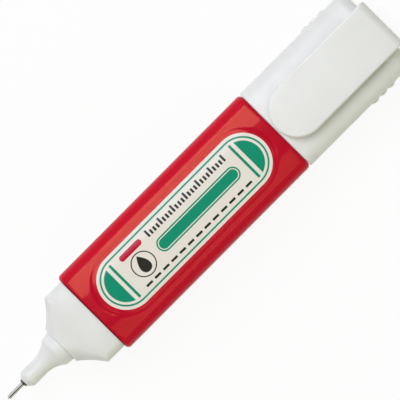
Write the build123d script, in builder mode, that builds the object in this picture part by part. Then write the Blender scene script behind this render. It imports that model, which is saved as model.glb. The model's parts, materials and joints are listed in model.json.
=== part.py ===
from build123d import *
from math import cos, radians, sin
import os

# Correction pen with a squeezable flat barrel, lying on its back with the cap on its tail.
# X runs along the pen from the metal tip (-X) to the cap (+X), zero at the middle of the
# printed sleeve. Z points out of the face that carries the clip, zero on the desk under the
# pen. Every piece of the tip is coaxial with the barrel. All sizes are in millimetres.

# Barrel outline, shared by the sleeve and the cap
barrel_length = 64.2
barrel_width = 25.0
barrel_depth = 16.0
face_flat = 8.0
crown_angle = 11.0
corner_radius = 4.0

# Printed film sleeve
film_thickness = 0.3
film_gap = 0.05
film_edge_chamfer = 0.7
film_lip_gap = 0.15
panel_length = 58.2
panel_width = 17.2
panel_depth = 0.12

# Squeeze bottle
bottle_wall = 1.0
body_edge_chamfer = 0.5
seat_length = 5.7
shoulder_length = 5.5
shoulder_hollow = 0.45
shoulder_steps = 2
neck_radius = 5.7
neck_flat = 0.3
neck_bore_length = 2.6
funnel_step = 0.4
tail_length = 6.0
tail_edge_chamfer = 1.2
base_recess_depth = 0.6
base_rim = 2.6

# Nozzle
plug_radius = 3.5
plug_length = 7.0
plug_fit = 0.05
collar_radius = 4.6
collar_front_radius = 4.35
collar_length = 2.5
flare_length = 4.7
stem_radius = 2.4
stem_length = 5.7
stem_end_length = 1.3
stem_end_radius = 1.4
chamber_radius = 1.9
passage_radius = 0.7
passage_length = 0.8

# Metal tip pipe
pipe_root_radius = 1.05
pipe_root_length = 7.0
pipe_fit = 0.05
ferrule_length = 0.5
ferrule_cone = 0.35
needle_radius = 0.55
needle_length = 4.9
needle_bore_radius = 0.36
lip_bore_radius = 0.2
lip_length = 0.4
lip_round = 0.25

# Spring valve inside the nozzle
pin_radius = 0.27
pin_nose_radius = 0.15
pin_nose_out = 0.4
pin_seat_gap = 0.05
pin_grip = 2.2
pin_fit = 0.05
plunger_radius = 1.45
plunger_length = 3.6
plunger_gap = 0.6
plunger_cone = 1.1
plunger_spigot_radius = 0.85
plunger_spigot_length = 1.0
spring_wire_radius = 0.16
spring_coil_radius = 1.15
spring_wire_sides = 6
spring_turns = 5
spring_seat_gap = 0.03
retainer_length = 2.0
retainer_hole_radius = 0.7
retainer_fit = 0.05

# Mixing ball
ball_radius = 1.6
ball_gap = 0.1

# Cap with its clip and grip ribs
cap_length = 35.9
cap_wall = 1.2
cap_fit = 0.1
cap_gap = 0.15
cap_end_wall = 1.6
cap_end_chamfer = 1.7
cap_mouth_chamfer = 0.25
rib_count = 3
rib_start = 22.65
rib_pitch = 2.75
rib_radius = 1.6
rib_height = 0.5
rib_span = 7.0
clip_width = 14.5
clip_thickness = 1.8
clip_gap = 1.7
clip_setback = 0.2
clip_overhang = 1.75
clip_root_length = 5.0
clip_root_depth = 5.5
clip_root_radius = 2.2
clip_edge_chamfer = 0.5
bead_radius = 1.3
bead_span = 8.0
bead_setback = 6.0

# Soft seal in the closed end of the cap
seal_radius = 3.9
seal_grip = 3.5
seal_fit = 0.08
seal_web = 1.4
spigot_radius = 1.9
spigot_length = 2.5
spigot_fit = 0.05

# Places along the pen, from the barrel out to the tip
axis_height = barrel_depth / 2
barrel_front = -barrel_length / 2
barrel_rear = barrel_length / 2
seat_inset = cap_wall + cap_fit
bottle_inset = film_thickness + film_gap
seat_front = barrel_front - seat_length
neck_end = seat_front - shoulder_length
neck_bore_rear = neck_end + neck_bore_length
neck_bore_radius = plug_radius + plug_fit
funnel_radius = axis_height - seat_inset - bottle_wall - funnel_step
plug_rear = neck_end + plug_length
collar_front = neck_end - collar_length
stem_rear = collar_front - flare_length
nozzle_end = stem_rear - stem_length
pipe_rear = nozzle_end + pipe_root_length
chamber_front = pipe_rear + passage_length
ferrule_end = nozzle_end - ferrule_length
needle_end = ferrule_end - needle_length
pin_shoulder = needle_end + lip_length + pin_seat_gap
plunger_front = chamber_front + plunger_gap
plunger_rear = plunger_front + plunger_length
pin_rear = plunger_front + pin_grip
retainer_front = plug_rear - retainer_length
spring_start = plunger_rear + spring_wire_radius + spring_seat_gap
spring_length = retainer_front - spring_wire_radius - spring_seat_gap - spring_start

# Places along the pen, from the barrel out to the cap's end
body_hollow_front = barrel_front + bottle_inset + bottle_wall
body_hollow_rear = barrel_rear - bottle_inset - bottle_wall
tail_end = barrel_rear + tail_length
tail_hollow_rear = tail_end - base_recess_depth - bottle_wall
cap_mouth = barrel_rear + cap_gap
cap_end = cap_mouth + cap_length
cap_floor = cap_end - cap_end_wall
rib_centre = barrel_width / 2 + rib_height - rib_radius
clip_free_end = cap_mouth + clip_setback
clip_end = cap_end + clip_overhang
clip_under = barrel_depth + clip_gap
clip_top = clip_under + clip_thickness
clip_foot = barrel_depth - clip_root_depth

# The seal sits on the cap's end and reaches over the stem of a pen that the cap closes
closed_mouth = barrel_front - cap_gap
seal_mouth = cap_mouth + (closed_mouth - nozzle_end) - seal_grip
seal_pocket = cap_floor - spigot_length - spigot_fit
seal_bottom = seal_pocket - seal_web

pen_axis = Axis((0, 0, axis_height), (1, 0, 0))
# Half section through the pen's axis: local x along the pen, local y out from the axis
half_section = Plane(origin=(0, 0, axis_height), x_dir=(1, 0, 0), z_dir=(0, -1, 0))

os.makedirs("parts", exist_ok=True)


def station(x):
    """Plane across the pen at x, with its origin on the pen's axis."""
    return Plane(origin=(x, 0, axis_height), x_dir=(0, 1, 0), z_dir=(1, 0, 0))


def blend(start, end, share):
    """Value a given share of the way from start to end."""
    return start + (end - start) * share


def flat_oval(width, depth, corner, flat):
    """Outline with a flat strip on each broad face, crowned flanks and round corners."""
    turn = radians(crown_angle)
    crown = (width / 2 - flat / 2 - corner * (1 - sin(turn))) / sin(turn)
    side = depth - 2 * crown * (1 - cos(turn)) - 2 * corner * cos(turn)
    face_to_side = ((crown, crown_angle), (corner, 90 - crown_angle))
    side_to_face = face_to_side[::-1]
    with BuildSketch() as outline:
        with BuildLine():
            edge = Line((-flat / 2, depth / 2), (flat / 2, depth / 2))
            for arcs, run in ((face_to_side, side), (side_to_face, flat), (face_to_side, side)):
                for radius, angle in arcs:
                    edge = JernArc(edge @ 1, edge % 1, radius, -angle)
                edge = Line(edge @ 1, (edge @ 1) + (edge % 1) * run)
            for radius, angle in side_to_face:
                edge = JernArc(edge @ 1, edge % 1, radius, -angle)
        make_face()
    return outline.sketch


def barrel_outline(inset):
    """The barrel's outline, the given distance inside the surface of sleeve and cap."""
    return flat_oval(
        barrel_width - 2 * inset, barrel_depth - 2 * inset, corner_radius - inset, face_flat
    )


def shoulder_outline(share, inset, end_radius, hollow):
    """Outline a given share of the way from the barrel to a round end, drawn in by the hollow."""
    start_width = barrel_width - 2 * inset
    start_depth = barrel_depth - 2 * inset
    bow = 8 * hollow / (start_width - 2 * end_radius)
    narrowing = share + bow * share * (1 - share)
    return flat_oval(
        blend(start_width, 2 * end_radius, narrowing),
        blend(start_depth, 2 * end_radius, narrowing),
        blend(corner_radius - inset, end_radius - neck_flat / 2, share),
        blend(face_flat, neck_flat, share),
    )


# Straight body of the bottle, as the film wraps it
with BuildPart() as bottle_body:
    with BuildSketch(station(barrel_front + film_thickness)):
        add(barrel_outline(bottle_inset))
    extrude(amount=barrel_length - 2 * film_thickness)
    body_ends = bottle_body.edges().group_by(Axis.X)
    chamfer(body_ends[0] + body_ends[-1], length=body_edge_chamfer)

# Squeeze bottle: body, cap seats at both ends, hollow-curved shoulder, funnel and neck
shoulder_shares = [step / shoulder_steps for step in range(shoulder_steps + 1)]
with BuildPart() as squeeze_bottle:
    add(bottle_body.part)
    with BuildSketch(station(seat_front)):
        add(barrel_outline(seat_inset))
    extrude(amount=tail_end - seat_front)
    chamfer(squeeze_bottle.edges().group_by(Axis.X)[-1], length=tail_edge_chamfer)
    for share in shoulder_shares:
        with BuildSketch(station(blend(seat_front, neck_end, share))):
            add(shoulder_outline(share, seat_inset, neck_radius, shoulder_hollow))
    loft()
    with BuildSketch(station(tail_end)):
        add(barrel_outline(seat_inset + base_rim))
    extrude(amount=-base_recess_depth, mode=Mode.SUBTRACT)
    with BuildSketch(station(body_hollow_front)):
        add(barrel_outline(bottle_inset + bottle_wall))
    extrude(amount=body_hollow_rear - body_hollow_front, mode=Mode.SUBTRACT)
    with BuildSketch(station(seat_front)):
        add(barrel_outline(seat_inset + bottle_wall))
    extrude(amount=tail_hollow_rear - seat_front, mode=Mode.SUBTRACT)
    with BuildSketch(half_section):
        with BuildLine():
            Polyline(
                (neck_end, 0),
                (neck_end, neck_bore_radius),
                (neck_bore_rear, neck_bore_radius),
                (seat_front, funnel_radius),
                (seat_front, 0),
                close=True,
            )
        make_face()
    revolve(axis=pen_axis, mode=Mode.SUBTRACT)
squeeze_bottle.part.label = "squeeze_bottle"
export_step(squeeze_bottle.part, "parts/squeeze_bottle.step")

# Shallow oblong panel in the sleeve's front, whose floor follows the crown of the face
with BuildPart() as panel_cut:
    with BuildSketch(Plane.XY.offset(axis_height)):
        SlotOverall(panel_length, panel_width)
    extrude(amount=barrel_depth / 2)
    with BuildSketch(station(barrel_front)):
        add(barrel_outline(panel_depth))
    extrude(amount=barrel_length, mode=Mode.SUBTRACT)

# Room for the bottle's body inside the film
with BuildPart() as film_room:
    with BuildSketch(station(barrel_front + film_thickness)):
        add(barrel_outline(film_thickness))
    extrude(amount=barrel_length - 2 * film_thickness)
    room_ends = film_room.edges().group_by(Axis.X)
    chamfer(room_ends[0] + room_ends[-1], length=body_edge_chamfer - film_gap)

# Printed film sleeve, drawn over the edges of the bottle's body at both ends
with BuildPart() as printed_sleeve:
    with BuildSketch(station(barrel_front)):
        add(barrel_outline(0))
    extrude(amount=barrel_length)
    sleeve_ends = printed_sleeve.edges().group_by(Axis.X)
    chamfer(sleeve_ends[0] + sleeve_ends[-1], length=film_edge_chamfer)
    add(panel_cut.part, mode=Mode.SUBTRACT)
    add(film_room.part, mode=Mode.SUBTRACT)
    with BuildSketch(station(barrel_front)):
        add(barrel_outline(seat_inset - film_lip_gap))
    extrude(amount=barrel_length, mode=Mode.SUBTRACT)
printed_sleeve.part.label = "printed_sleeve"
export_step(printed_sleeve.part, "parts/printed_sleeve.step")

# Nozzle: plug in the neck, collar against its end, flared body and slim stem
with BuildPart() as nozzle:
    with BuildSketch(half_section):
        with BuildLine():
            Polyline(
                (chamber_front, passage_radius),
                (chamber_front, chamber_radius),
                (plug_rear, chamber_radius),
                (plug_rear, plug_radius),
                (neck_end, plug_radius),
                (neck_end, collar_radius),
                (collar_front, collar_front_radius),
            )
            TangentArc(
                (stem_rear, stem_radius), (collar_front, collar_front_radius), tangent=(1, 0)
            )
            Polyline(
                (stem_rear, stem_radius),
                (nozzle_end + stem_end_length, stem_radius),
                (nozzle_end, stem_end_radius),
                (nozzle_end, pipe_root_radius + pipe_fit),
                (pipe_rear, pipe_root_radius + pipe_fit),
                (pipe_rear, passage_radius),
                (chamber_front, passage_radius),
            )
        make_face()
    revolve(axis=pen_axis)
nozzle.part.label = "nozzle"
export_step(nozzle.part, "parts/nozzle.step")

# Metal pipe: root held in the stem, small ferrule, needle with a drawn-in lip
with BuildPart() as tip_pipe:
    with BuildSketch(half_section):
        with BuildLine():
            Polyline(
                (pipe_rear, needle_bore_radius),
                (pipe_rear, pipe_root_radius),
                (ferrule_end + ferrule_cone, pipe_root_radius),
                (ferrule_end, needle_radius),
                (needle_end + lip_round, needle_radius),
                (needle_end, needle_radius - lip_round / 2),
                (needle_end, lip_bore_radius),
                (needle_end + lip_length, lip_bore_radius),
                (needle_end + lip_length, needle_bore_radius),
                close=True,
            )
        make_face()
    revolve(axis=pen_axis)
tip_pipe.part.label = "tip_pipe"
export_step(tip_pipe.part, "parts/tip_pipe.step")

# Valve pin: its shoulder closes the pipe's lip, and its nose stands out to be pressed
with BuildPart() as valve_pin:
    with BuildSketch(half_section):
        with BuildLine():
            Polyline(
                (needle_end - pin_nose_out, 0),
                (needle_end - pin_nose_out + pin_nose_radius / 2, pin_nose_radius),
                (pin_shoulder, pin_nose_radius),
                (pin_shoulder, pin_radius),
                (pin_rear, pin_radius),
                (pin_rear, 0),
                close=True,
            )
        make_face()
    revolve(axis=pen_axis)
valve_pin.part.label = "valve_pin"
export_step(valve_pin.part, "parts/valve_pin.step")

# Plunger that carries the pin, with a cone in front and a spigot that centres the spring
with BuildPart() as valve_plunger:
    with BuildSketch(half_section):
        with BuildLine():
            Polyline(
                (plunger_front, pin_radius + pin_fit),
                (plunger_front, passage_radius),
                (plunger_front + plunger_cone, plunger_radius),
                (plunger_rear, plunger_radius),
                (plunger_rear, plunger_spigot_radius),
                (plunger_rear + plunger_spigot_length, plunger_spigot_radius),
                (plunger_rear + plunger_spigot_length, 0),
                (pin_rear, 0),
                (pin_rear, pin_radius + pin_fit),
                close=True,
            )
        make_face()
    revolve(axis=pen_axis)
valve_plunger.part.label = "valve_plunger"
export_step(valve_plunger.part, "parts/valve_plunger.step")

# Coil spring between the plunger and the retainer
with BuildPart() as valve_spring:
    with BuildLine() as coil:
        Helix(
            pitch=spring_length / spring_turns,
            height=spring_length,
            radius=spring_coil_radius,
            center=(spring_start, 0, axis_height),
            direction=(1, 0, 0),
        )
    with BuildSketch(coil.line ^ 0):
        RegularPolygon(spring_wire_radius, spring_wire_sides)
    sweep(is_frenet=True)
valve_spring.part.label = "valve_spring"
export_step(valve_spring.part, "parts/valve_spring.step")

# Retainer ring at the rear of the nozzle, with the hole that feeds the fluid
with BuildPart() as spring_retainer:
    with BuildSketch(station(retainer_front)):
        Circle(chamber_radius - retainer_fit)
        Circle(retainer_hole_radius, mode=Mode.SUBTRACT)
    extrude(amount=retainer_length)
spring_retainer.part.label = "spring_retainer"
export_step(spring_retainer.part, "parts/spring_retainer.step")

# Steel ball, loose in the bottle, resting on its floor
with BuildPart() as mixing_ball:
    with Locations((0, 0, bottle_inset + bottle_wall + ball_gap + ball_radius)):
        Sphere(ball_radius)
mixing_ball.part.label = "mixing_ball"
export_step(mixing_ball.part, "parts/mixing_ball.step")

# Clip: a flat blade with a round free end, a root over the cap's end and a bead below
with BuildPart() as clip_bar:
    with BuildSketch(Plane.XZ):
        with BuildLine():
            side_view = Polyline(
                (clip_end - clip_root_radius, clip_top),
                (clip_free_end, clip_top),
                (clip_free_end, clip_under),
                (cap_end - clip_root_length, clip_under),
                (cap_end - clip_root_length, clip_foot),
                (clip_end, clip_foot),
                (clip_end, clip_top - clip_root_radius),
            )
            TangentArc(side_view @ 0, side_view @ 1, tangent=(1, 0))
        make_face()
    extrude(amount=clip_width / 2, both=True)
    with BuildSketch(Plane.XY.offset(clip_foot)):
        with Locations((clip_free_end + clip_width / 2, 0)):
            Circle(clip_width / 2)
            Rectangle(clip_end - clip_free_end, clip_width, align=(Align.MIN, Align.CENTER))
    extrude(amount=clip_top - clip_foot, mode=Mode.INTERSECT)
    blade_edges = clip_bar.faces().sort_by(Axis.Z)[-1].edges()
    chamfer(blade_edges.filter_by(Axis.Y, reverse=True), length=clip_edge_chamfer)
    with BuildSketch(Plane.XZ):
        with Locations((clip_free_end + bead_setback, clip_under)):
            Circle(bead_radius)
    extrude(amount=bead_span / 2, both=True)

# Cap: hollow shell with grip ribs, the clip in one piece with it, and a spigot for the seal
with BuildPart() as cap:
    with BuildSketch(station(cap_mouth)):
        add(barrel_outline(0))
    extrude(amount=cap_length)
    chamfer(cap.edges().group_by(Axis.X)[-1], length=cap_end_chamfer)
    with BuildSketch(Plane.XY.offset(axis_height - rib_span / 2)):
        for index in range(rib_count):
            rib_place = cap_mouth + rib_start + index * rib_pitch
            with Locations((rib_place, -rib_centre), (rib_place, rib_centre)):
                Circle(rib_radius)
    extrude(amount=rib_span)
    add(clip_bar.part)
    with BuildSketch(station(cap_mouth)):
        add(barrel_outline(cap_wall))
    extrude(amount=cap_floor - cap_mouth, mode=Mode.SUBTRACT)
    chamfer(cap.edges().group_by(Axis.X)[0], length=cap_mouth_chamfer)
    with BuildSketch(station(cap_floor)):
        Circle(spigot_radius)
    extrude(amount=-spigot_length)
cap.part.label = "cap"
export_step(cap.part, "parts/cap.step")

# Soft seal on the cap's spigot, which grips the stem and covers the tip of a closed pen
with BuildPart() as tip_seal:
    with BuildSketch(half_section):
        with BuildLine():
            Polyline(
                (seal_mouth, stem_radius + seal_fit),
                (seal_mouth, seal_radius),
                (cap_floor, seal_radius),
                (cap_floor, spigot_radius + spigot_fit),
                (seal_pocket, spigot_radius + spigot_fit),
                (seal_pocket, 0),
                (seal_bottom, 0),
                (seal_bottom, stem_radius + seal_fit),
                close=True,
            )
        make_face()
    revolve(axis=pen_axis)
tip_seal.part.label = "tip_seal"
export_step(tip_seal.part, "parts/tip_seal.step")
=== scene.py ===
import bmesh
import bpy
import json
from math import cos, pi, radians, sin, sqrt, tan
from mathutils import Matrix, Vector


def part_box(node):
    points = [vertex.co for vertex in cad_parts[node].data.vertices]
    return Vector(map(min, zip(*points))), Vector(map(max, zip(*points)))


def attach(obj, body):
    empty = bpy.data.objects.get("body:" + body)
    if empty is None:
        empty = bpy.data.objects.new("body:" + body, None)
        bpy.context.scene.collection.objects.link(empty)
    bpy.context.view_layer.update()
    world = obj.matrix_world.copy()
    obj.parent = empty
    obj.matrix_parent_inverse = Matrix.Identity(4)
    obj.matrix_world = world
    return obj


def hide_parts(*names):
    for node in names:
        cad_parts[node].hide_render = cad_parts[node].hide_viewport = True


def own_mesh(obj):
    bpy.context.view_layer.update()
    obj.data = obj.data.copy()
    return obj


# Correction pen lying on its back, cap on its tail. X runs from the metal tip to the cap, Z is up.
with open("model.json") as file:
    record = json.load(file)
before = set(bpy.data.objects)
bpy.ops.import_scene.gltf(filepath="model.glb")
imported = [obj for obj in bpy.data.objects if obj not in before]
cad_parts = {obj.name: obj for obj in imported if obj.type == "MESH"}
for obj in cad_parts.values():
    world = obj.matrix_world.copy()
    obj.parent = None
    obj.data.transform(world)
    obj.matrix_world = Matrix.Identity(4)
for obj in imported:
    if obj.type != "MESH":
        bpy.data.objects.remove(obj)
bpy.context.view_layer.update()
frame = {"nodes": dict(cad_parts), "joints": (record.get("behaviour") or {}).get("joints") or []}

mm = 0.001
weld_distance = 0.001 * mm
sharp_turn = radians(35)


# Sizes: places come from the frame's nodes, the rest are the object's own sizes

barrel_low, barrel_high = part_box("printed_sleeve")
bottle_low, bottle_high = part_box("squeeze_bottle")
nozzle_low, nozzle_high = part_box("nozzle")
pipe_low, pipe_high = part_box("tip_pipe")
spring_low, spring_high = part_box("valve_spring")
cap_low, cap_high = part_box("cap")
seal_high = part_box("tip_seal")[1]

# Barrel outline, shared by sleeve and cap
barrel_front = barrel_low.x
barrel_rear = barrel_high.x
barrel_width = barrel_high.y - barrel_low.y
barrel_depth = barrel_high.z - barrel_low.z
axis_height = (barrel_low.z + barrel_high.z) / 2
corner_radius = 4.0 * mm
face_flat = 8.0 * mm
crown_turn = radians(11)
edge_steps = 6
lathe_segments = 96
pin_segments = 64

# Steps of a quarter section along its flat, crown, corner and side
ring_steps = (3, 8, 10, 2)
sleeve_ring_steps = (14, 18, 12, 3)

# Printed sleeve
film_thickness = 0.3 * mm
film_round = 0.6 * mm
film_side_round = 1.1 * mm
film_lip_inset = 1.15 * mm
film_cut_edge = barrel_front + film_thickness
film_seam = 6.0 * mm
room_front = barrel_front + film_thickness
room_rear = barrel_rear - film_thickness
panel_length = 58.2 * mm
panel_width = 17.2 * mm
panel_depth = 0.12 * mm
panel_slope = 1.1 * mm
film_round_steps = 8
sleeve_stations = 200

# Squeeze bottle
neck_end = bottle_low.x
tail_end = bottle_high.x
bottle_wall = 1.0 * mm
body_inset = 0.35 * mm
body_round = 0.6 * mm
body_round_steps = 4
body_hollow = body_inset + bottle_wall
seat_inset = 1.3 * mm
seat_hollow = seat_inset + bottle_wall
seat_front = -37.8 * mm
shoulder_hollow = 0.45 * mm
shoulder_steps = 10
funnel_radius = 5.3 * mm
neck_radius = 5.7 * mm
neck_flat = 0.3 * mm
neck_edge = 0.25 * mm
neck_edge_steps = 3
neck_bore = 3.55 * mm
neck_bore_rear = neck_end + 2.6 * mm
base_recess = 0.6 * mm
base_rim = 2.6 * mm
base_draft = 0.2 * mm
tail_round = 1.8 * mm
tail_round_steps = 8

# Nozzle
nozzle_front = nozzle_low.x
plug_rear = nozzle_high.x
plug_radius = 3.5 * mm
plug_edge = 0.3 * mm
collar_radius = nozzle_high.z - axis_height
collar_edge = 0.15 * mm
collar_front = neck_end - 2.5 * mm
collar_front_radius = 4.35 * mm
collar_front_edge = 0.5 * mm
flare_steps = 14
stem_radius = 2.4 * mm
stem_rear = collar_front - 4.7 * mm
stem_end_length = 1.3 * mm
stem_end_radius = 1.4 * mm
stem_edge = 0.4 * mm
stem_end_edge = 0.2 * mm
chamber_radius = 1.9 * mm
chamber_front = pipe_high.x + 0.8 * mm
passage_radius = 0.7 * mm
pipe_bore = 1.1 * mm

# Metal pipe
pipe_rear = pipe_high.x
pipe_radius = pipe_high.z - axis_height
ferrule_end = nozzle_front - 0.5 * mm
ferrule_bevel = 0.1 * mm
ferrule_edge = 0.12 * mm
needle_end = pipe_low.x
needle_radius = 0.55 * mm
needle_edge = 0.22 * mm
needle_bore = 0.36 * mm
lip_bore = 0.2 * mm
lip_length = 0.4 * mm
lip_edge = 0.05 * mm
pipe_segments = 64

# Valve spring
wire_radius = 0.16 * mm
wire_sides = 8
coil_turns = 5
coil_steps = 40

# Cap
cap_mouth = cap_low.x
cap_end = cap_high.x - 1.75 * mm
cap_floor = seal_high.x
cap_wall = 1.2 * mm
cap_round = 3.0 * mm
cap_round_steps = 14
cap_mouth_round = 0.15 * mm
cap_mouth_steps = 4
cap_overlap = 0.4 * mm
spigot_radius = 1.9 * mm
spigot_length = 2.5 * mm
spigot_edge = 0.3 * mm
gate_radius = 0.8 * mm
gate_rise = 0.12 * mm
rib_count = 3
rib_first = cap_mouth + 22.65 * mm
rib_pitch = 2.75 * mm
rib_radius = 1.6 * mm
rib_height = 7.0 * mm
rib_edge = 0.45 * mm
rib_steps = 48
rib_axis = cap_high.y - rib_radius
soft_end_steps = 5

# Clip, in one moulding with the cap
clip_half_width = 7.25 * mm
clip_top = cap_high.z
clip_under = clip_top - 1.8 * mm
clip_free_end = cap_mouth + 0.2 * mm
clip_end = cap_high.x
clip_foot = barrel_depth - 5.5 * mm
clip_bow_steps = 32
clip_corner = 0.5 * mm
clip_corner_steps = 8
clip_edge = 0.6 * mm
clip_under_edge = 0.4 * mm
clip_under_steps = 5
clip_bend_round = 2.2 * mm
clip_bend_steps = 12
clip_root_front = cap_end - 5.0 * mm
clip_root_fillet = 0.8 * mm
clip_root_fillet_steps = 5
clip_root_bow = 0.05 * mm
bead_radius = 1.3 * mm
bead_half_span = 4.0 * mm
bead_edge = 0.5 * mm
bead_sink = 0.05 * mm
bead_steps = 24
bead_place = clip_free_end + 6.0 * mm


# Mesh helpers


def blend(start, end, share):
    """Value a given share of the way from start to end."""
    return start + (end - start) * share


def arc_shares(steps):
    """Sine and cosine pairs of a quarter turn, for rounded edges."""
    return [(sin(pi / 2 * step / steps), cos(pi / 2 * step / steps)) for step in range(steps + 1)]


def oval_ring(x, width, depth, corner, flat, steps):
    """Section of the barrel at x: flat strips, crowned flanks and round corners."""
    crown = (width / 2 - flat / 2 - corner * (1 - sin(crown_turn))) / sin(crown_turn)
    crown_centre = (flat / 2, depth / 2 - crown)
    corner_centre = (
        crown_centre[0] + (crown - corner) * sin(crown_turn),
        crown_centre[1] + (crown - corner) * cos(crown_turn),
    )
    flat_steps, crown_steps, corner_steps, side_steps = steps
    quarter = [(flat / 2 * step / flat_steps, depth / 2) for step in range(flat_steps)]
    for step in range(crown_steps):
        turn = crown_turn * step / crown_steps
        quarter.append((crown_centre[0] + crown * sin(turn), crown_centre[1] + crown * cos(turn)))
    for step in range(corner_steps):
        turn = blend(crown_turn, pi / 2, step / corner_steps)
        quarter.append((corner_centre[0] + corner * sin(turn), corner_centre[1] + corner * cos(turn)))
    for step in range(side_steps):
        quarter.append((width / 2, corner_centre[1] * (1 - step / side_steps)))
    lower_right = [(y, -z) for y, z in quarter[:0:-1]]
    right = quarter + [(width / 2, 0)] + lower_right
    left = [(-y, -z) for y, z in right]
    return [(x, y, axis_height + z) for y, z in right + left]


def barrel_ring(x, inset):
    """Barrel section at x, the given distance inside the surface of sleeve and cap."""
    width = barrel_width - 2 * inset
    depth = barrel_depth - 2 * inset
    return oval_ring(x, width, depth, corner_radius - inset, face_flat, ring_steps)


# Height of share * (1 - share) in its middle
parabola_peak = 0.25


def shoulder_ring(x, share, inset, end_radius, hollow=0):
    """Section a given share of the way from the barrel to a round end, drawn in by the hollow."""
    start_width = barrel_width - 2 * inset
    start_depth = barrel_depth - 2 * inset
    draw_in = 2 * hollow / parabola_peak / (start_width - 2 * end_radius)
    narrowing = share + draw_in * share * (1 - share)
    return oval_ring(
        x,
        blend(start_width, 2 * end_radius, narrowing),
        blend(start_depth, 2 * end_radius, narrowing),
        blend(corner_radius - inset, end_radius - neck_flat / 2, share),
        blend(face_flat, neck_flat, share),
        ring_steps,
    )


def circle_ring(x, radius, segments):
    """Circle round the pen's axis."""
    turns = [2 * pi * step / segments for step in range(segments)]
    return [(x, radius * sin(turn), axis_height + radius * cos(turn)) for turn in turns]


def softened(corners, steps=edge_steps):
    """Outline of (x, radius, rounding) corners, each rounded by its own amount."""
    points = []
    for index, (x, radius, rounding) in enumerate(corners):
        here = Vector((x, radius))
        if rounding == 0:
            points.append(here)
            continue
        before = Vector(corners[index - 1][:2])
        after = Vector(corners[(index + 1) % len(corners)][:2])
        start = here + (before - here).normalized() * rounding
        end = here + (after - here).normalized() * rounding
        for step in range(steps + 1):
            share = step / steps
            points.append(start.lerp(here, share).lerp(here.lerp(end, share), share))
    return points


def skin(rings, loop=False):
    """Vertices and faces of a surface through rings of equal count, closed at its ends or on itself."""
    count = len(rings[0])
    vertices = [point for ring in rings for point in ring]
    faces = []
    for index in range(len(rings) if loop else len(rings) - 1):
        here = index * count
        following = (index + 1) % len(rings) * count
        for step in range(count):
            after = (step + 1) % count
            faces.append((here + step, here + after, following + after, following + step))
    if not loop:
        faces.append(tuple(reversed(range(count))))
        faces.append(tuple(range((len(rings) - 1) * count, len(rings) * count)))
    return vertices, faces


def lathe(outline, segments=lathe_segments):
    """Surface of a closed outline of (x, radius) points turned round the pen's axis."""
    return skin([circle_ring(x, radius, segments) for x, radius in outline], loop=True)


def turned_pin(outline, segments=pin_segments):
    """Solid pin from (x, radius) points along the pen's axis."""
    return skin([circle_ring(x, radius, segments) for x, radius in outline])


def cleaned(mesh):
    """Weld stray points of a mesh and turn its faces outward."""
    solid = bmesh.new()
    solid.from_mesh(mesh)
    bmesh.ops.remove_doubles(solid, verts=solid.verts, dist=weld_distance)
    bmesh.ops.dissolve_degenerate(solid, dist=weld_distance, edges=solid.edges)
    bmesh.ops.recalc_face_normals(solid, faces=solid.faces)
    solid.to_mesh(mesh)
    solid.free()


def shell_object(name, shell):
    """Object of one closed shell."""
    vertices, faces = shell
    mesh = bpy.data.meshes.new(name)
    mesh.from_pydata(vertices, [], faces)
    cleaned(mesh)
    shape = bpy.data.objects.new(name, mesh)
    bpy.context.scene.collection.objects.link(shape)
    return shape


def worked(base, steps):
    """Add and cut further closed shells, so that the base becomes one solid without inner faces."""
    for operation, shell in steps:
        tool = shell_object(base.name + "_tool", shell)
        change = base.modifiers.new(operation, "BOOLEAN")
        change.operation = operation
        change.solver = "EXACT"
        change.object = tool
        result = base.evaluated_get(bpy.context.evaluated_depsgraph_get())
        mesh = bpy.data.meshes.new_from_object(result)
        base.modifiers.clear()
        base.data = mesh
        cleaned(mesh)
        bpy.data.objects.remove(tool)


def make_piece(name, shell, body, material, stands_for, steps=()):
    """Piece from a closed shell and its further steps, riding on a body and standing for a CAD node."""
    piece = shell_object(name, shell)
    if steps:
        worked(piece, steps)
    mesh = piece.data
    mesh.shade_smooth()
    mesh.set_sharp_from_angle(angle=sharp_turn)
    mesh.materials.clear()
    mesh.materials.append(material)
    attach(piece, body)
    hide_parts(stands_for)
    return piece


# Material helpers

noise_range = (0.3, 0.7)
noise_detail = 3.0
ink_softness = 0.07

plastic_clouds = 7 * mm
plastic_gloss_patch = 2.5 * mm
plastic_gloss_spread = 0.05
plastic_scatter = 0.3
plastic_scatter_tint = (1.0, 0.95, 0.85)
plastic_scatter_depth = 0.8 * mm
plastic_relief = 0.25
plastic_relief_depth = 0.02 * mm
parting_half_width = 0.06 * mm

steel_line = 0.06 * mm
steel_line_stretch = (200, 1, 1)
steel_line_shade = 0.82
steel_smoother = 0.06
steel_rougher = 0.08
# Darkening of the crimped root, partly painted shade where the pipe meets the nozzle
steel_crimp_and_painted_shade = 0.25
steel_crimp_and_shade_blend = 0.3
steel_edge_tint = (0.35, 0.35, 0.36)
steel_relief = 0.05
steel_relief_depth = 0.005 * mm

rubber_dust = 1.2 * mm
rubber_dust_detail = 5.0
rubber_roughness = 0.7
rubber_pits = 0.15 * mm
rubber_relief = 0.4
rubber_relief_depth = 0.02 * mm


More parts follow.
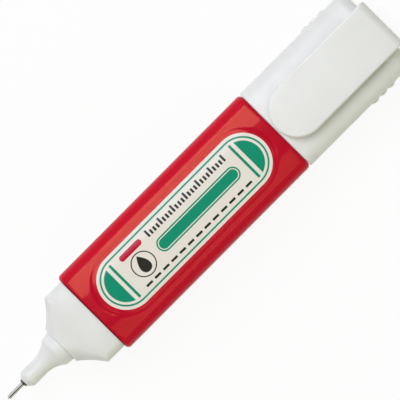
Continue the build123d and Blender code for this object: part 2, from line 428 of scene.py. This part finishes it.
class Field:
    """A number that varies over a surface, so that prints and grains read as formulas."""

    def __init__(self, tree, socket):
        self.tree = tree
        self.socket = socket

    def math(self, operation, other=None, clamp=False):
        node = self.tree.nodes.new("ShaderNodeMath")
        node.operation = operation
        node.use_clamp = clamp
        self.tree.links.new(self.socket, node.inputs[0])
        if isinstance(other, Field):
            self.tree.links.new(other.socket, node.inputs[1])
        elif other is not None:
            node.inputs[1].default_value = other
        return Field(self.tree, node.outputs[0])

    def __add__(self, other):
        return self.math("ADD", other)

    def __sub__(self, other):
        return self.math("SUBTRACT", other)

    def __mul__(self, other):
        return self.math("MULTIPLY", other)

    def __abs__(self):
        return self.math("ABSOLUTE")

    def above(self, other):
        return self.math("MAXIMUM", other)

    def below(self, other):
        return self.math("MINIMUM", other)

    def root(self):
        return self.math("SQRT")

    def inside(self, softness=ink_softness):
        """Mask that is 1 where this distance is below zero, with a soft edge."""
        return (self * (-1 / softness)).math("ADD", 0.5, clamp=True)

    def without(self, mask):
        return (self - mask).math("MAXIMUM", 0, clamp=True)


def new_material(name):
    """Material with its node tree and its main shader."""
    material = bpy.data.materials.new(name)
    material.use_nodes = True
    tree = material.node_tree
    return material, tree, tree.nodes["Principled BSDF"]


def place_fields(tree):
    """Place on the object along X, Y and Z, in millimetres."""
    coordinates = tree.nodes.new("ShaderNodeTexCoord")
    split = tree.nodes.new("ShaderNodeSeparateXYZ")
    tree.links.new(coordinates.outputs["Object"], split.inputs[0])
    return [Field(tree, output) * (1 / mm) for output in split.outputs]


def noise_field(tree, feature, stretch=(1, 1, 1), detail=noise_detail):
    """Noise whose features have the given size, stretched along the axes."""
    coordinates = tree.nodes.new("ShaderNodeTexCoord")
    mapping = tree.nodes.new("ShaderNodeMapping")
    noise = tree.nodes.new("ShaderNodeTexNoise")
    mapping.inputs["Scale"].default_value = [1 / (feature * share) for share in stretch]
    noise.inputs["Scale"].default_value = 1.0
    noise.inputs["Detail"].default_value = detail
    tree.links.new(coordinates.outputs["Object"], mapping.inputs["Vector"])
    tree.links.new(mapping.outputs["Vector"], noise.inputs["Vector"])
    return Field(tree, noise.outputs["Fac"])


def mixed(tree, mask, first, second):
    """Colour that goes from first to second with the mask; a colour is a socket or a value."""
    node = tree.nodes.new("ShaderNodeMix")
    node.data_type = "RGBA"
    tree.links.new(mask.socket, node.inputs["Factor"])
    for key, colour in (("A", first), ("B", second)):
        socket = next(s for s in node.inputs if s.name == key and s.type == "RGBA")
        if isinstance(colour, bpy.types.NodeSocket):
            tree.links.new(colour, socket)
        else:
            socket.default_value = (*colour, 1.0)
    return next(s for s in node.outputs if s.type == "RGBA")


def spread(tree, field, low, high):
    """The middle range of a noise field brought to low and high."""
    node = tree.nodes.new("ShaderNodeMapRange")
    node.inputs["From Min"].default_value = noise_range[0]
    node.inputs["From Max"].default_value = noise_range[1]
    node.inputs["To Min"].default_value = low
    node.inputs["To Max"].default_value = high
    tree.links.new(field.socket, node.inputs["Value"])
    return Field(tree, node.outputs["Result"])


def strip(x, start, end):
    """Distance to the band between two places."""
    return abs(x - (start + end) / 2) - (end - start) / 2


def add_relief(tree, shader, height, strength, depth):
    """Fine relief on the shader from a height field."""
    bump = tree.nodes.new("ShaderNodeBump")
    bump.inputs["Strength"].default_value = strength
    bump.inputs["Distance"].default_value = depth
    tree.links.new(height.socket, bump.inputs["Height"])
    tree.links.new(bump.outputs["Normal"], shader.inputs["Normal"])


def moulded_plastic(name, colour, shade, roughness, grain, parting=0):
    """Moulded plastic with faint cloudiness, uneven gloss, fine grain and, if wanted, a parting line."""
    material, tree, shader = new_material(name)
    clouds = spread(tree, noise_field(tree, plastic_clouds), 0.0, 1.0)
    tree.links.new(mixed(tree, clouds, colour, shade), shader.inputs["Base Color"])
    patches = noise_field(tree, plastic_gloss_patch)
    gloss = spread(tree, patches, roughness - plastic_gloss_spread, roughness + plastic_gloss_spread)
    tree.links.new(gloss.socket, shader.inputs["Roughness"])
    shader.inputs["Subsurface Weight"].default_value = plastic_scatter
    shader.inputs["Subsurface Radius"].default_value = plastic_scatter_tint
    shader.inputs["Subsurface Scale"].default_value = plastic_scatter_depth
    relief = noise_field(tree, grain)
    if parting:
        height = place_fields(tree)[2] - axis_height / mm
        half_width = parting_half_width / mm
        relief = relief + strip(height, -half_width, half_width).inside(half_width) * parting
    add_relief(tree, shader, relief, plastic_relief, plastic_relief_depth)
    return material


def drawn_steel(name, colour, roughness, crimp_and_shade=None):
    """Bright drawn steel with fine lines along the pen, darker in a given band: the crimped root, partly
    painted shade where the pipe meets the nozzle.
    """
    material, tree, shader = new_material(name)
    lines = noise_field(tree, steel_line, stretch=steel_line_stretch)
    shine = spread(tree, lines, roughness - steel_smoother, roughness + steel_rougher)
    tree.links.new(shine.socket, shader.inputs["Roughness"])
    shade = [steel_line_shade * part for part in colour]
    tone = mixed(tree, spread(tree, lines, 0.0, 1.0), colour, shade)
    # Darker band from the ferrule into the nozzle: partly crimp, partly painted shade
    if crimp_and_shade:
        band = strip(place_fields(tree)[0], crimp_and_shade[0] / mm, crimp_and_shade[1] / mm)
        shade = [steel_crimp_and_painted_shade * part for part in colour]
        tone = mixed(tree, band.inside(steel_crimp_and_shade_blend), tone, shade)
    tree.links.new(tone, shader.inputs["Base Color"])
    shader.inputs["Metallic"].default_value = 1.0
    shader.inputs["Specular Tint"].default_value = (*steel_edge_tint, 1.0)
    add_relief(tree, shader, lines, steel_relief, steel_relief_depth)
    return material


def soft_rubber(name, colour, shade):
    """Matt elastomer with a dusty, slightly pitted surface."""
    material, tree, shader = new_material(name)
    dust = spread(tree, noise_field(tree, rubber_dust, detail=rubber_dust_detail), 0.0, 1.0)
    tree.links.new(mixed(tree, dust, colour, shade), shader.inputs["Base Color"])
    shader.inputs["Roughness"].default_value = rubber_roughness
    add_relief(tree, shader, noise_field(tree, rubber_pits), rubber_relief, rubber_relief_depth)
    return material


# Printed film: red all round, with a cream oblong of plain signs on the front

film_red = (0.54, 0.0065, 0.027)
film_red_shade = (0.505, 0.0055, 0.023)
# Lighter red for the narrow sides is painted light, standing in for the light that falls on them
film_red_painted_side_light = (0.63, 0.0065, 0.027)
# Dark maroon at the film's front end: partly the cut edge, partly painted shade at the film's end
cut_edge_and_shade_maroon = (0.14, 0.0045, 0.009)
film_sheen = (1.0, 0.32, 0.19)
print_sheen = (0.25, 0.35, 0.45)
print_cream = (0.86, 0.80, 0.735)
print_green = (0.008, 0.29, 0.165)
print_black = (0.03, 0.03, 0.022)

film_clouds = 9 * mm
film_gloss_patch = 4 * mm
film_gloss = (0.09, 0.15)
film_specular = 0.21
film_waves = 6 * mm
film_wave_stretch = (2, 1, 1)
film_wave_detail = 1.0
film_seam_rise = 0.5
film_relief = 0.08
film_relief_depth = 0.05 * mm

# Places and sizes of the print, in millimetres
# Where the painted light on the narrow sides begins, and how softly
painted_light_start = 10.2
painted_light_blend = 2.0
film_cut_blend = 0.3
film_seam_blend = 0.2
print_length = 55.8
print_width = 14.8
print_shift = 0.2
border_start = 0.8
border_end = 1.25
field_margin = 1.9
field_start = 22.3
stripe_start = 20.6
stripe_end = 21.3
capsule_place = (4.6, -0.3)
capsule_half_length = 14.0
capsule_half_width = 2.0
capsule_line_start = 0.4
capsule_line_end = 0.65
scale_start = -9.0
scale_pitch = 1.1
scale_mark = 0.6
scale_count = 25
scale_group = 4
scale_low = 3.4
scale_high = 4.7
scale_tall = 5.4
dash_start = -18.0
dash_pitch = 2.9
dash_length = 2.0
dash_count = 13
dash_low = -5.1
dash_high = -4.5
drop_place = (-14.6, -0.3)
drop_length = 4.9
drop_low = -2.3
drop_breadth = 4.0
drop_ring_start = 3.0
drop_ring_end = 3.3
accent_place = (-14.6, 4.4)
accent_half_length = 3.6
accent_half_width = 0.8
row_lead = 10


def rounded_bar(x, y, centre, half_length, half_height):
    """Distance to a bar with round ends that lies along the pen."""
    over = (abs(x - centre[0]) - (half_length - half_height)).above(0)
    rise = y - centre[1]
    return (over * over + rise * rise).root() - half_height


def mark_row(x, y, start, pitch, mark, count, low, high):
    """Distance to a row of equal marks, each as long as mark, between two heights."""
    counted_from = start - row_lead * pitch
    marks = strip((x - counted_from).math("MODULO", pitch), 0, mark)
    return marks.above(strip(x, start, start + (count - 1) * pitch + mark)).above(strip(y, low, high))


def drop_sign(x, y):
    """Distance to a drop in a ring, about its own middle."""
    height = (y - drop_low) * (1 / drop_length)
    sides = abs(x) - height.above(0).root() * (height * -1 + 1) * drop_breadth
    ring = (x * x + y * y).root()
    return sides.above(strip(height, 0, 1) * drop_length).below(strip(ring, drop_ring_start, drop_ring_end))


def green_print(x, y, edge):
    """Mask of the green border, end fields and capsule with its inner line."""
    reach = abs(x)
    fields = strip(reach, stripe_start, stripe_end).below(reach * -1 + field_start)
    fields = fields.above(edge + field_margin)
    capsule = rounded_bar(x, y, capsule_place, capsule_half_length, capsule_half_width)
    inner_line = strip(capsule, -capsule_line_end, -capsule_line_start).inside()
    return strip(edge, -border_end, -border_start).below(fields).below(capsule).inside().without(inner_line)


def black_print(x, y):
    """Mask of the graduated scale, the row of dashes and the drop in its ring."""
    fine = mark_row(x, y, scale_start, scale_pitch, scale_mark, scale_count, scale_low, scale_high)
    groups = (scale_count - 1) // scale_group + 1
    tall = mark_row(
        x, y, scale_start, scale_group * scale_pitch, scale_mark, groups, scale_low, scale_tall
    )
    dashes = mark_row(x, y, dash_start, dash_pitch, dash_length, dash_count, dash_low, dash_high)
    drop = drop_sign(x - drop_place[0], y - drop_place[1])
    return drop.below(fine).below(tall).below(dashes).inside()


def printed_film(name):
    """Glossy red film: print, front cut edge darkened partly as painted shade, narrow sides lightened as
    painted light, back seam, faint waves, uneven gloss.
    """
    material, tree, shader = new_material(name)
    place, y, z = place_fields(tree)
    x = place - print_shift
    front = (z * -1 + axis_height / mm).inside()
    edge = rounded_bar(x, y, (0, 0), print_length / 2, print_width / 2)
    label = edge.inside() * front
    accent = rounded_bar(x, y, accent_place, accent_half_length, accent_half_width).inside()
    # Darker band at the film's front end, partly cut edge and partly painted shade
    cut_edge_and_shade = (place - film_cut_edge / mm).inside(film_cut_blend)
    # Mask of the narrow sides, where lighter red is painted light
    painted_side_light = (abs(y) * -1 + painted_light_start).inside(painted_light_blend)

    clouds = spread(tree, noise_field(tree, film_clouds), 0.0, 1.0)
    colour = mixed(tree, clouds, film_red, film_red_shade)
    colour = mixed(tree, painted_side_light, colour, film_red_painted_side_light)
    colour = mixed(tree, cut_edge_and_shade, colour, cut_edge_and_shade_maroon)
    colour = mixed(tree, label, colour, print_cream)
    colour = mixed(tree, label * accent, colour, film_red)
    colour = mixed(tree, label * green_print(x, y, edge), colour, print_green)
    colour = mixed(tree, label * black_print(x, y), colour, print_black)
    tree.links.new(colour, shader.inputs["Base Color"])
    tree.links.new(mixed(tree, label, film_sheen, print_sheen), shader.inputs["Specular Tint"])
    gloss = spread(tree, noise_field(tree, film_gloss_patch), *film_gloss)
    tree.links.new(gloss.socket, shader.inputs["Roughness"])
    shader.inputs["Specular IOR Level"].default_value = film_specular
    waves = noise_field(tree, film_waves, stretch=film_wave_stretch, detail=film_wave_detail)
    seam = (y * -1 + film_seam / mm).inside(film_seam_blend).without(front)
    add_relief(tree, shader, waves + seam * film_seam_rise, film_relief, film_relief_depth)
    return material


white_bottle = moulded_plastic(
    "white_bottle", (0.845, 0.85, 0.85), (0.81, 0.815, 0.81), roughness=0.42, grain=0.30 * mm, parting=4
)
white_nozzle = moulded_plastic(
    "white_nozzle", (0.845, 0.85, 0.85), (0.82, 0.825, 0.82), roughness=0.36, grain=0.25 * mm
)
white_cap = moulded_plastic(
    "white_cap", (0.85, 0.855, 0.855), (0.825, 0.83, 0.825), roughness=0.40, grain=0.22 * mm
)
natural_plastic = moulded_plastic(
    "natural_plastic", (0.80, 0.79, 0.73), (0.76, 0.75, 0.69), roughness=0.40, grain=0.20 * mm
)
red_film = printed_film("red_film")
steel = drawn_steel("steel", (0.62, 0.62, 0.61), roughness=0.16)
# The pipe is darkened from the ferrule back, partly painted shade where it enters the nozzle
pipe_steel = drawn_steel(
    "pipe_steel", (0.72, 0.72, 0.71), roughness=0.12, crimp_and_shade=(ferrule_end - ferrule_bevel, pipe_rear)
)
spring_steel = drawn_steel("spring_steel", (0.56, 0.56, 0.57), roughness=0.3)
ball_steel = drawn_steel("ball_steel", (0.70, 0.70, 0.71), roughness=0.14)
soft_seal = soft_rubber("soft_seal", (0.70, 0.71, 0.69), (0.64, 0.65, 0.63))


# Printed sleeve


def sunk(point):
    """Point of the sleeve's skin moved down into the shallow oblong panel on the front."""
    x, y, z = point
    if z < axis_height:
        return point
    straight = (panel_length - panel_width) / 2
    edge = Vector((max(abs(x) - straight, 0), y)).length - panel_width / 2
    share = min(max(0.5 - edge / panel_slope, 0), 1)
    return (x, y, z - panel_depth * share * share * (3 - 2 * share))


def film_ring(x, inset, side_inset):
    """Section of the film, fine enough to carry the panel, drawn in on its faces and narrow sides."""
    width = barrel_width - 2 * side_inset
    depth = barrel_depth - 2 * inset
    return oval_ring(x, width, depth, corner_radius - inset, face_flat, sleeve_ring_steps)


def rounding(radius, along):
    """How far a rounded edge lies inside the full section at a distance from the end."""
    rest = max(radius - along, 0)
    return radius - sqrt(radius * radius - rest * rest)


def film_lip(end, inward):
    """Rounded end of the film, from its cut lip out to the full section, softer on the narrow sides."""
    rings = [film_ring(end, film_lip_inset, film_lip_inset)]
    for _, cosine in arc_shares(film_round_steps):
        along = film_side_round * (1 - cosine)
        side_inset = rounding(film_side_round, along)
        rings.append(film_ring(end + inward * along, rounding(film_round, along), side_inset))
    return rings


def sleeve_shell():
    """Thin shell with rounded ends that lip over the bottle, and the sunk panel."""
    front_edge = barrel_front + film_side_round
    rear_edge = barrel_rear - film_side_round
    rings = film_lip(barrel_front, 1)
    for step in range(1, sleeve_stations):
        x = blend(front_edge, rear_edge, step / sleeve_stations)
        rings.append([sunk(point) for point in film_ring(x, 0, 0)])
    rings += film_lip(barrel_rear, -1)[::-1]
    inside = [
        (room_rear, film_lip_inset),
        (room_rear, film_round),
        (barrel_rear - film_round, film_thickness),
        (barrel_front + film_round, film_thickness),
        (room_front, film_round),
        (room_front, film_lip_inset),
    ]
    return skin(rings + [film_ring(x, inset, inset) for x, inset in inside], loop=True)


make_piece("sleeve_film", sleeve_shell(), "barrel", red_film, "printed_sleeve")


# Squeeze bottle: one skin from the hollow's tail forward to the neck and back along the outside


def bottle_inside():
    """Sections of the hollow, from the tail forward to the bore of the neck."""
    hollow_front = barrel_front + body_hollow
    hollow_rear = barrel_rear - body_hollow
    sections = [
        (tail_end - base_recess - bottle_wall, seat_hollow),
        (hollow_rear, seat_hollow),
        (hollow_rear, body_hollow),
        (hollow_front, body_hollow),
        (hollow_front, seat_hollow),
        (seat_front, seat_hollow),
    ]
    rings = [barrel_ring(x, inset) for x, inset in sections]
    for x, radius in ((seat_front, funnel_radius), (neck_bore_rear, neck_bore), (neck_end, neck_bore)):
        rings.append(shoulder_ring(x, 1, seat_hollow, radius))
    return rings


def shoulder_outside():
    """Sections of the hollow-curved shoulder, from the neck's soft edge back to the seat."""
    rings = []
    for sine, cosine in arc_shares(neck_edge_steps)[:-1]:
        radius = neck_radius - neck_edge * (1 - sine)
        rings.append(shoulder_ring(neck_end + neck_edge * (1 - cosine), 1, seat_inset, radius))
    for step in range(shoulder_steps, -1, -1):
        share = step / shoulder_steps
        x = blend(seat_front, neck_end + neck_edge, share)
        rings.append(shoulder_ring(x, share, seat_inset, neck_radius, shoulder_hollow))
    return rings


def body_outside():
    """Sections of the body under the film, of the tail and of its recessed base."""
    arc = arc_shares(body_round_steps)
    body_arc = [(body_round * (1 - cosine), body_round * (1 - sine)) for sine, cosine in arc]
    rings = [barrel_ring(room_front, seat_inset)]
    rings += [barrel_ring(room_front + along, body_inset + inward) for along, inward in body_arc]
    rings += [barrel_ring(room_rear - along, body_inset + inward) for along, inward in body_arc[::-1]]
    rings.append(barrel_ring(room_rear, seat_inset))
    for sine, cosine in arc_shares(tail_round_steps)[::-1]:
        inset = seat_inset + tail_round * (1 - sine)
        rings.append(barrel_ring(tail_end - tail_round * (1 - cosine), inset))
    rings.append(barrel_ring(tail_end, seat_inset + base_rim))
    rings.append(barrel_ring(tail_end - base_recess, seat_inset + base_rim + base_draft))
    return rings


bottle_rings = bottle_inside() + shoulder_outside() + body_outside()
make_piece("bottle_shell", skin(bottle_rings), "barrel", white_bottle, "squeeze_bottle")


# Nozzle and metal pipe: turned outlines with softened edges


def nozzle_outline():
    """Half section of the nozzle: plug, collar, hollow flare, slim stem with a coned end."""
    outline = softened(
        [
            (chamber_front, passage_radius, 0),
            (chamber_front, chamber_radius, 0),
            (plug_rear, chamber_radius, 0),
            (plug_rear, plug_radius, plug_edge),
            (neck_end, plug_radius, 0),
            (neck_end, collar_radius, collar_edge),
            (collar_front, collar_front_radius, collar_front_edge),
        ]
    )
    flare_start = outline[-1]
    for step in range(1, flare_steps + 1):
        share = step / flare_steps
        radius = blend(stem_radius, flare_start.y, (1 - share) * (1 - share))
        outline.append(Vector((blend(flare_start.x, stem_rear, share), radius)))
    stem = softened(
        [
            (stem_rear, stem_radius, 0),
            (nozzle_front + stem_end_length, stem_radius, stem_edge),
            (nozzle_front, stem_end_radius, stem_end_edge),
            (nozzle_front, pipe_bore, 0),
            (pipe_rear, pipe_bore, 0),
            (pipe_rear, passage_radius, 0),
        ]
    )
    return outline + stem[1:]


def pipe_outline():
    """Half section of the pipe: root, small ferrule, needle with a drawn-in lip."""
    return softened(
        [
            (pipe_rear, needle_bore, 0),
            (pipe_rear, pipe_radius, 0),
            (ferrule_end + ferrule_bevel, pipe_radius, ferrule_edge),
            (ferrule_end, needle_radius + ferrule_edge, ferrule_bevel),
            (ferrule_end - ferrule_bevel, needle_radius, lip_edge),
            (needle_end, needle_radius, needle_edge),
            (needle_end, lip_bore, lip_edge),
            (needle_end + lip_length, lip_bore, 0),
            (needle_end + lip_length, needle_bore, 0),
        ]
    )


make_piece("tip_holder", lathe(nozzle_outline()), "barrel", white_nozzle, "nozzle")
make_piece("needle_pipe", lathe(pipe_outline(), pipe_segments), "barrel", pipe_steel, "tip_pipe")


# Valve spring: round wire drawn at rest; the share of its length kept when the tip is pressed is worked
# out, not applied


def coil_shell():
    """Wire wound round the pen's axis."""
    coil_radius = spring_high.z - axis_height - wire_radius
    along = Vector((1, 0, 0))
    rings = []
    for step in range(coil_turns * coil_steps + 1):
        turn = 2 * pi * step / coil_steps
        share = step / (coil_turns * coil_steps)
        outward = Vector((0, sin(turn), cos(turn)))
        x = blend(spring_low.x + wire_radius, spring_high.x - wire_radius, share)
        centre = Vector((x, 0, axis_height)) + outward * coil_radius
        ring = []
        for side in range(wire_sides):
            side_turn = 2 * pi * side / wire_sides
            ring.append(tuple(centre + wire_radius * (outward * cos(side_turn) + along * sin(side_turn))))
        rings.append(ring)
    return skin(rings)


coil = make_piece("valve_coil", coil_shell(), "barrel", spring_steel, "valve_spring")
press = next(joint for joint in frame["joints"] if joint["name"] == "tip_press")
coil_kept = 1 - press["range_m"][1] / (spring_high.x - spring_low.x)
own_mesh(coil)


# Cap: rounded body, hollow, spigot for the seal, grip ribs, and the clip in one moulding


def cap_body():
    """Outer form of the cap with a soft mouth edge and a rounded closed end."""
    rings = []
    for sine, cosine in arc_shares(cap_mouth_steps):
        rings.append(barrel_ring(cap_mouth + cap_mouth_round * (1 - cosine), cap_mouth_round * (1 - sine)))
    for sine, cosine in arc_shares(cap_round_steps)[::-1]:
        rings.append(barrel_ring(cap_end - cap_round * (1 - cosine), cap_round * (1 - sine)))
    return skin(rings)


def cap_hollow():
    """Inside of the cap, which widens softly at the mouth."""
    rings = [barrel_ring(cap_mouth - cap_overlap, cap_wall - cap_mouth_round)]
    for sine, cosine in arc_shares(cap_mouth_steps):
        inset = cap_wall - cap_mouth_round * (1 - sine)
        rings.append(barrel_ring(cap_mouth + cap_mouth_round * (1 - cosine), inset))
    rings.append(barrel_ring(cap_floor, cap_wall))
    return skin(rings)


def cap_spigot():
    """Pin on the floor of the cap that carries the seal."""
    tip = cap_floor - spigot_length
    return turned_pin(
        [
            (cap_floor + cap_overlap, spigot_radius),
            (tip + spigot_edge, spigot_radius),
            (tip, spigot_radius - spigot_edge),
        ]
    )


def gate_mark():
    """Low round mark where the moulding was filled, in the middle of the closed end."""
    return turned_pin(
        [
            (cap_end - cap_overlap, gate_radius),
            (cap_end + gate_rise / 2, gate_radius),
            (cap_end + gate_rise, gate_radius - gate_rise / 2),
        ]
    )


def soft_ends(half_length, radius, edge):
    """Places along a bar and its radius there, with rounded ends."""
    arc = arc_shares(soft_end_steps)
    half = [(half_length - edge * (1 - sine), radius - edge * (1 - cosine)) for sine, cosine in arc]
    return [(-place, size) for place, size in half[::-1]] + half


def grip_rib(x, side):
    """Upright half-round rib with soft ends on a narrow side of the cap."""
    rings = []
    for height, radius in soft_ends(rib_height / 2, rib_radius, rib_edge):
        ring = []
        for step in range(rib_steps):
            turn = 2 * pi * step / rib_steps
            y = side * (rib_axis + radius * cos(turn))
            ring.append((x + radius * sin(turn), y, axis_height + height))
        rings.append(ring)
    return skin(rings)


def clip_ring(z, front, bow, rear, inset):
    """Level outline of the clip: bowed front end, straight sides and a square rear end."""
    half = clip_half_width - inset
    points = []
    for step in range(clip_bow_steps + 1):
        turn = pi / 2 + pi * step / clip_bow_steps
        points.append((front + bow + bow * cos(turn), half * sin(turn), z))
    for side, start in ((-1, -pi / 2), (1, 0)):
        for step in range(clip_corner_steps + 1):
            turn = start + pi / 2 * step / clip_corner_steps
            y = side * (half - clip_corner) + clip_corner * sin(turn)
            points.append((rear - clip_corner + clip_corner * cos(turn), y, z))
    return points


def clip_root():
    """Levels of the clip's root, which widens into the blade in a small fillet."""
    rings = [clip_ring(clip_foot, clip_root_front, clip_root_bow, clip_end, 0)]
    for sine, cosine in arc_shares(clip_root_fillet_steps):
        z = clip_under - clip_root_fillet * (1 - sine)
        front = clip_root_front - clip_root_fillet * (1 - cosine)
        rings.append(clip_ring(z, front, clip_root_bow, clip_end, 0))
    return rings


def clip_blade():
    """Levels of the blade, with soft edges and the rounded bend at its rear."""
    rings = []
    for sine, cosine in arc_shares(clip_under_steps):
        inset = clip_under_edge * (1 - sine)
        z = clip_under + clip_under_edge * (1 - cosine)
        rings.append(clip_ring(z, clip_free_end + inset, clip_half_width - inset, clip_end, inset))
    for sine, cosine in arc_shares(clip_bend_steps):
        z = clip_top - clip_bend_round * (1 - sine)
        if z < clip_under + clip_under_edge:
            continue
        rise = max(z - (clip_top - clip_edge), 0)
        inset = clip_edge - sqrt(max(clip_edge * clip_edge - rise * rise, 0))
        rear = clip_end - clip_bend_round * (1 - cosine)
        rings.append(clip_ring(z, clip_free_end + inset, clip_half_width - inset, rear, inset))
    return rings


def clip_bead():
    """Half-round bead across the underside of the clip, with soft ends."""
    rings = []
    for y, radius in soft_ends(bead_half_span, bead_radius, bead_edge):
        ring = []
        for step in range(bead_steps + 1):
            turn = pi * step / bead_steps
            ring.append((bead_place + radius * cos(turn), y, clip_under + bead_sink - radius * sin(turn)))
        rings.append(ring)
    return skin(rings)


cap_steps = [("UNION", skin(clip_root() + clip_blade())), ("UNION", clip_bead())]
for index in range(rib_count):
    for side in (-1, 1):
        cap_steps.append(("UNION", grip_rib(rib_first + index * rib_pitch, side)))
cap_steps += [("DIFFERENCE", cap_hollow()), ("UNION", cap_spigot()), ("UNION", gate_mark())]
make_piece("cap_moulding", cap_body(), "cap", white_cap, "cap", cap_steps)


# Inner pieces keep their CAD shape

for node, material in (
    ("valve_pin", steel),
    ("valve_plunger", natural_plastic),
    ("spring_retainer", natural_plastic),
    ("mixing_ball", ball_steel),
    ("tip_seal", soft_seal),
):
    inner_mesh = frame["nodes"][node].data
    inner_mesh.materials.clear()
    inner_mesh.materials.append(material)


# Floor, light and camera

floor_half = 4.0
floor_colour = (0.90, 0.90, 0.89)
floor_glow = 0.92
glow_colour = (1.0, 1.0, 1.0)
lamp_height = 0.60
overhead_length = 0.10
middle = (0, 0, axis_height)
horizon_colour = (0.46, 0.475, 0.41)
zenith_colour = (0.04, 0.04, 0.04)
horizon_fall = 0.7


def floor_material():
    """Pale floor that shows white to the camera and to reflections, and keeps a soft shadow."""
    material = bpy.data.materials.new("floor")
    material.use_nodes = True
    tree = material.node_tree
    tree.nodes.remove(tree.nodes["Principled BSDF"])
    matt = tree.nodes.new("ShaderNodeBsdfDiffuse")
    matt.inputs["Color"].default_value = (*floor_colour, 1.0)
    glow = tree.nodes.new("ShaderNodeEmission")
    glow.inputs["Color"].default_value = (*glow_colour, 1.0)
    glow.inputs["Strength"].default_value = 1.0
    rays = tree.nodes.new("ShaderNodeLightPath")
    seen = Field(tree, rays.outputs["Is Camera Ray"])
    seen = seen.above(Field(tree, rays.outputs["Is Glossy Ray"]))
    seen = seen.above(Field(tree, rays.outputs["Is Transmission Ray"]))
    mix = tree.nodes.new("ShaderNodeMixShader")
    tree.links.new((seen * floor_glow).socket, mix.inputs["Fac"])
    tree.links.new(matt.outputs["BSDF"], mix.inputs[1])
    tree.links.new(glow.outputs["Emission"], mix.inputs[2])
    tree.links.new(mix.outputs["Shader"], tree.nodes["Material Output"].inputs["Surface"])
    return material


def add_floor():
    """Plain square floor under the pen."""
    corners = [(x * floor_half, y * floor_half, 0) for x, y in ((-1, -1), (1, -1), (1, 1), (-1, 1))]
    mesh = bpy.data.meshes.new("floor")
    mesh.from_pydata(corners, [], [(0, 1, 2, 3)])
    mesh.materials.append(floor_material())
    floor = bpy.data.objects.new("floor", mesh)
    bpy.context.scene.collection.objects.link(floor)


def add_softbox(name, place, target, size, power, colour):
    """Rectangular lamp that looks at a point, long side along the pen."""
    lamp = bpy.data.lights.new(name, "AREA")
    lamp.shape = "RECTANGLE"
    lamp.size, lamp.size_y = size
    lamp.energy = power
    lamp.color = colour
    softbox = bpy.data.objects.new(name, lamp)
    softbox.location = place
    softbox.rotation_euler = (Vector(target) - Vector(place)).to_track_quat("-Z", "Y").to_euler()
    softbox.visible_camera = False
    bpy.context.scene.collection.objects.link(softbox)


def add_overhead(name, near, far, power, colour):
    """Softbox above the pen that spans the given angles from straight up, towards +Y."""
    near_y = lamp_height * tan(radians(near))
    far_y = lamp_height * tan(radians(far))
    centre_y = (near_y + far_y) / 2
    size = (overhead_length, abs(far_y - near_y))
    add_softbox(name, (0, centre_y, lamp_height), (0, centre_y, 0), size, power, colour)


def add_world():
    """Soft surroundings, pale at the horizon and dark overhead."""
    world = bpy.data.worlds.new("studio")
    world.use_nodes = True
    bpy.context.scene.world = world
    tree = world.node_tree
    coordinates = tree.nodes.new("ShaderNodeTexCoord")
    split = tree.nodes.new("ShaderNodeSeparateXYZ")
    tree.links.new(coordinates.outputs["Generated"], split.inputs[0])
    rise = Field(tree, split.outputs["Z"]).math("MAXIMUM", 0, clamp=True).math("POWER", horizon_fall)
    background = tree.nodes["Background"]
    tree.links.new(mixed(tree, rise, horizon_colour, zenith_colour), background.inputs["Color"])
    background.inputs["Strength"].default_value = 1.0


add_floor()
add_overhead("key", near=2, far=40, power=2.0, colour=(0.99, 1.0, 1.05))
add_overhead("fill", near=-8, far=-45, power=0.6, colour=(1.0, 0.95, 0.75))
side_place = (-0.2, 0.56, 0.66)
low_place = (0, -0.58, 0.42)
add_softbox("side", side_place, middle, size=(1.6, 0.7), power=3.2, colour=(0.985, 0.985, 1.07))
add_softbox("low", low_place, middle, size=(1.2, 0.5), power=0.78, colour=(0.94, 1.0, 0.42))
add_world()

# The photo looks straight down on the face, turned by an eighth of a turn, nearly without perspective
view_width = 99.3 * mm
view_centre = (6.64 * mm, 1.0 * mm)
view_turn = radians(-45.14)
lens_length = 1200
sensor_width = 36
camera_data = bpy.data.cameras.new("camera")
camera_data.lens = lens_length
camera_data.sensor_width = sensor_width
view_distance = view_width * lens_length / sensor_width
camera = bpy.data.objects.new("camera", camera_data)
camera.location = (*view_centre, axis_height + view_distance)
camera.rotation_euler = (0, 0, view_turn)
bpy.context.scene.collection.objects.link(camera)
bpy.context.scene.camera = camera
bpy.context.scene.view_settings.view_transform = "Standard"
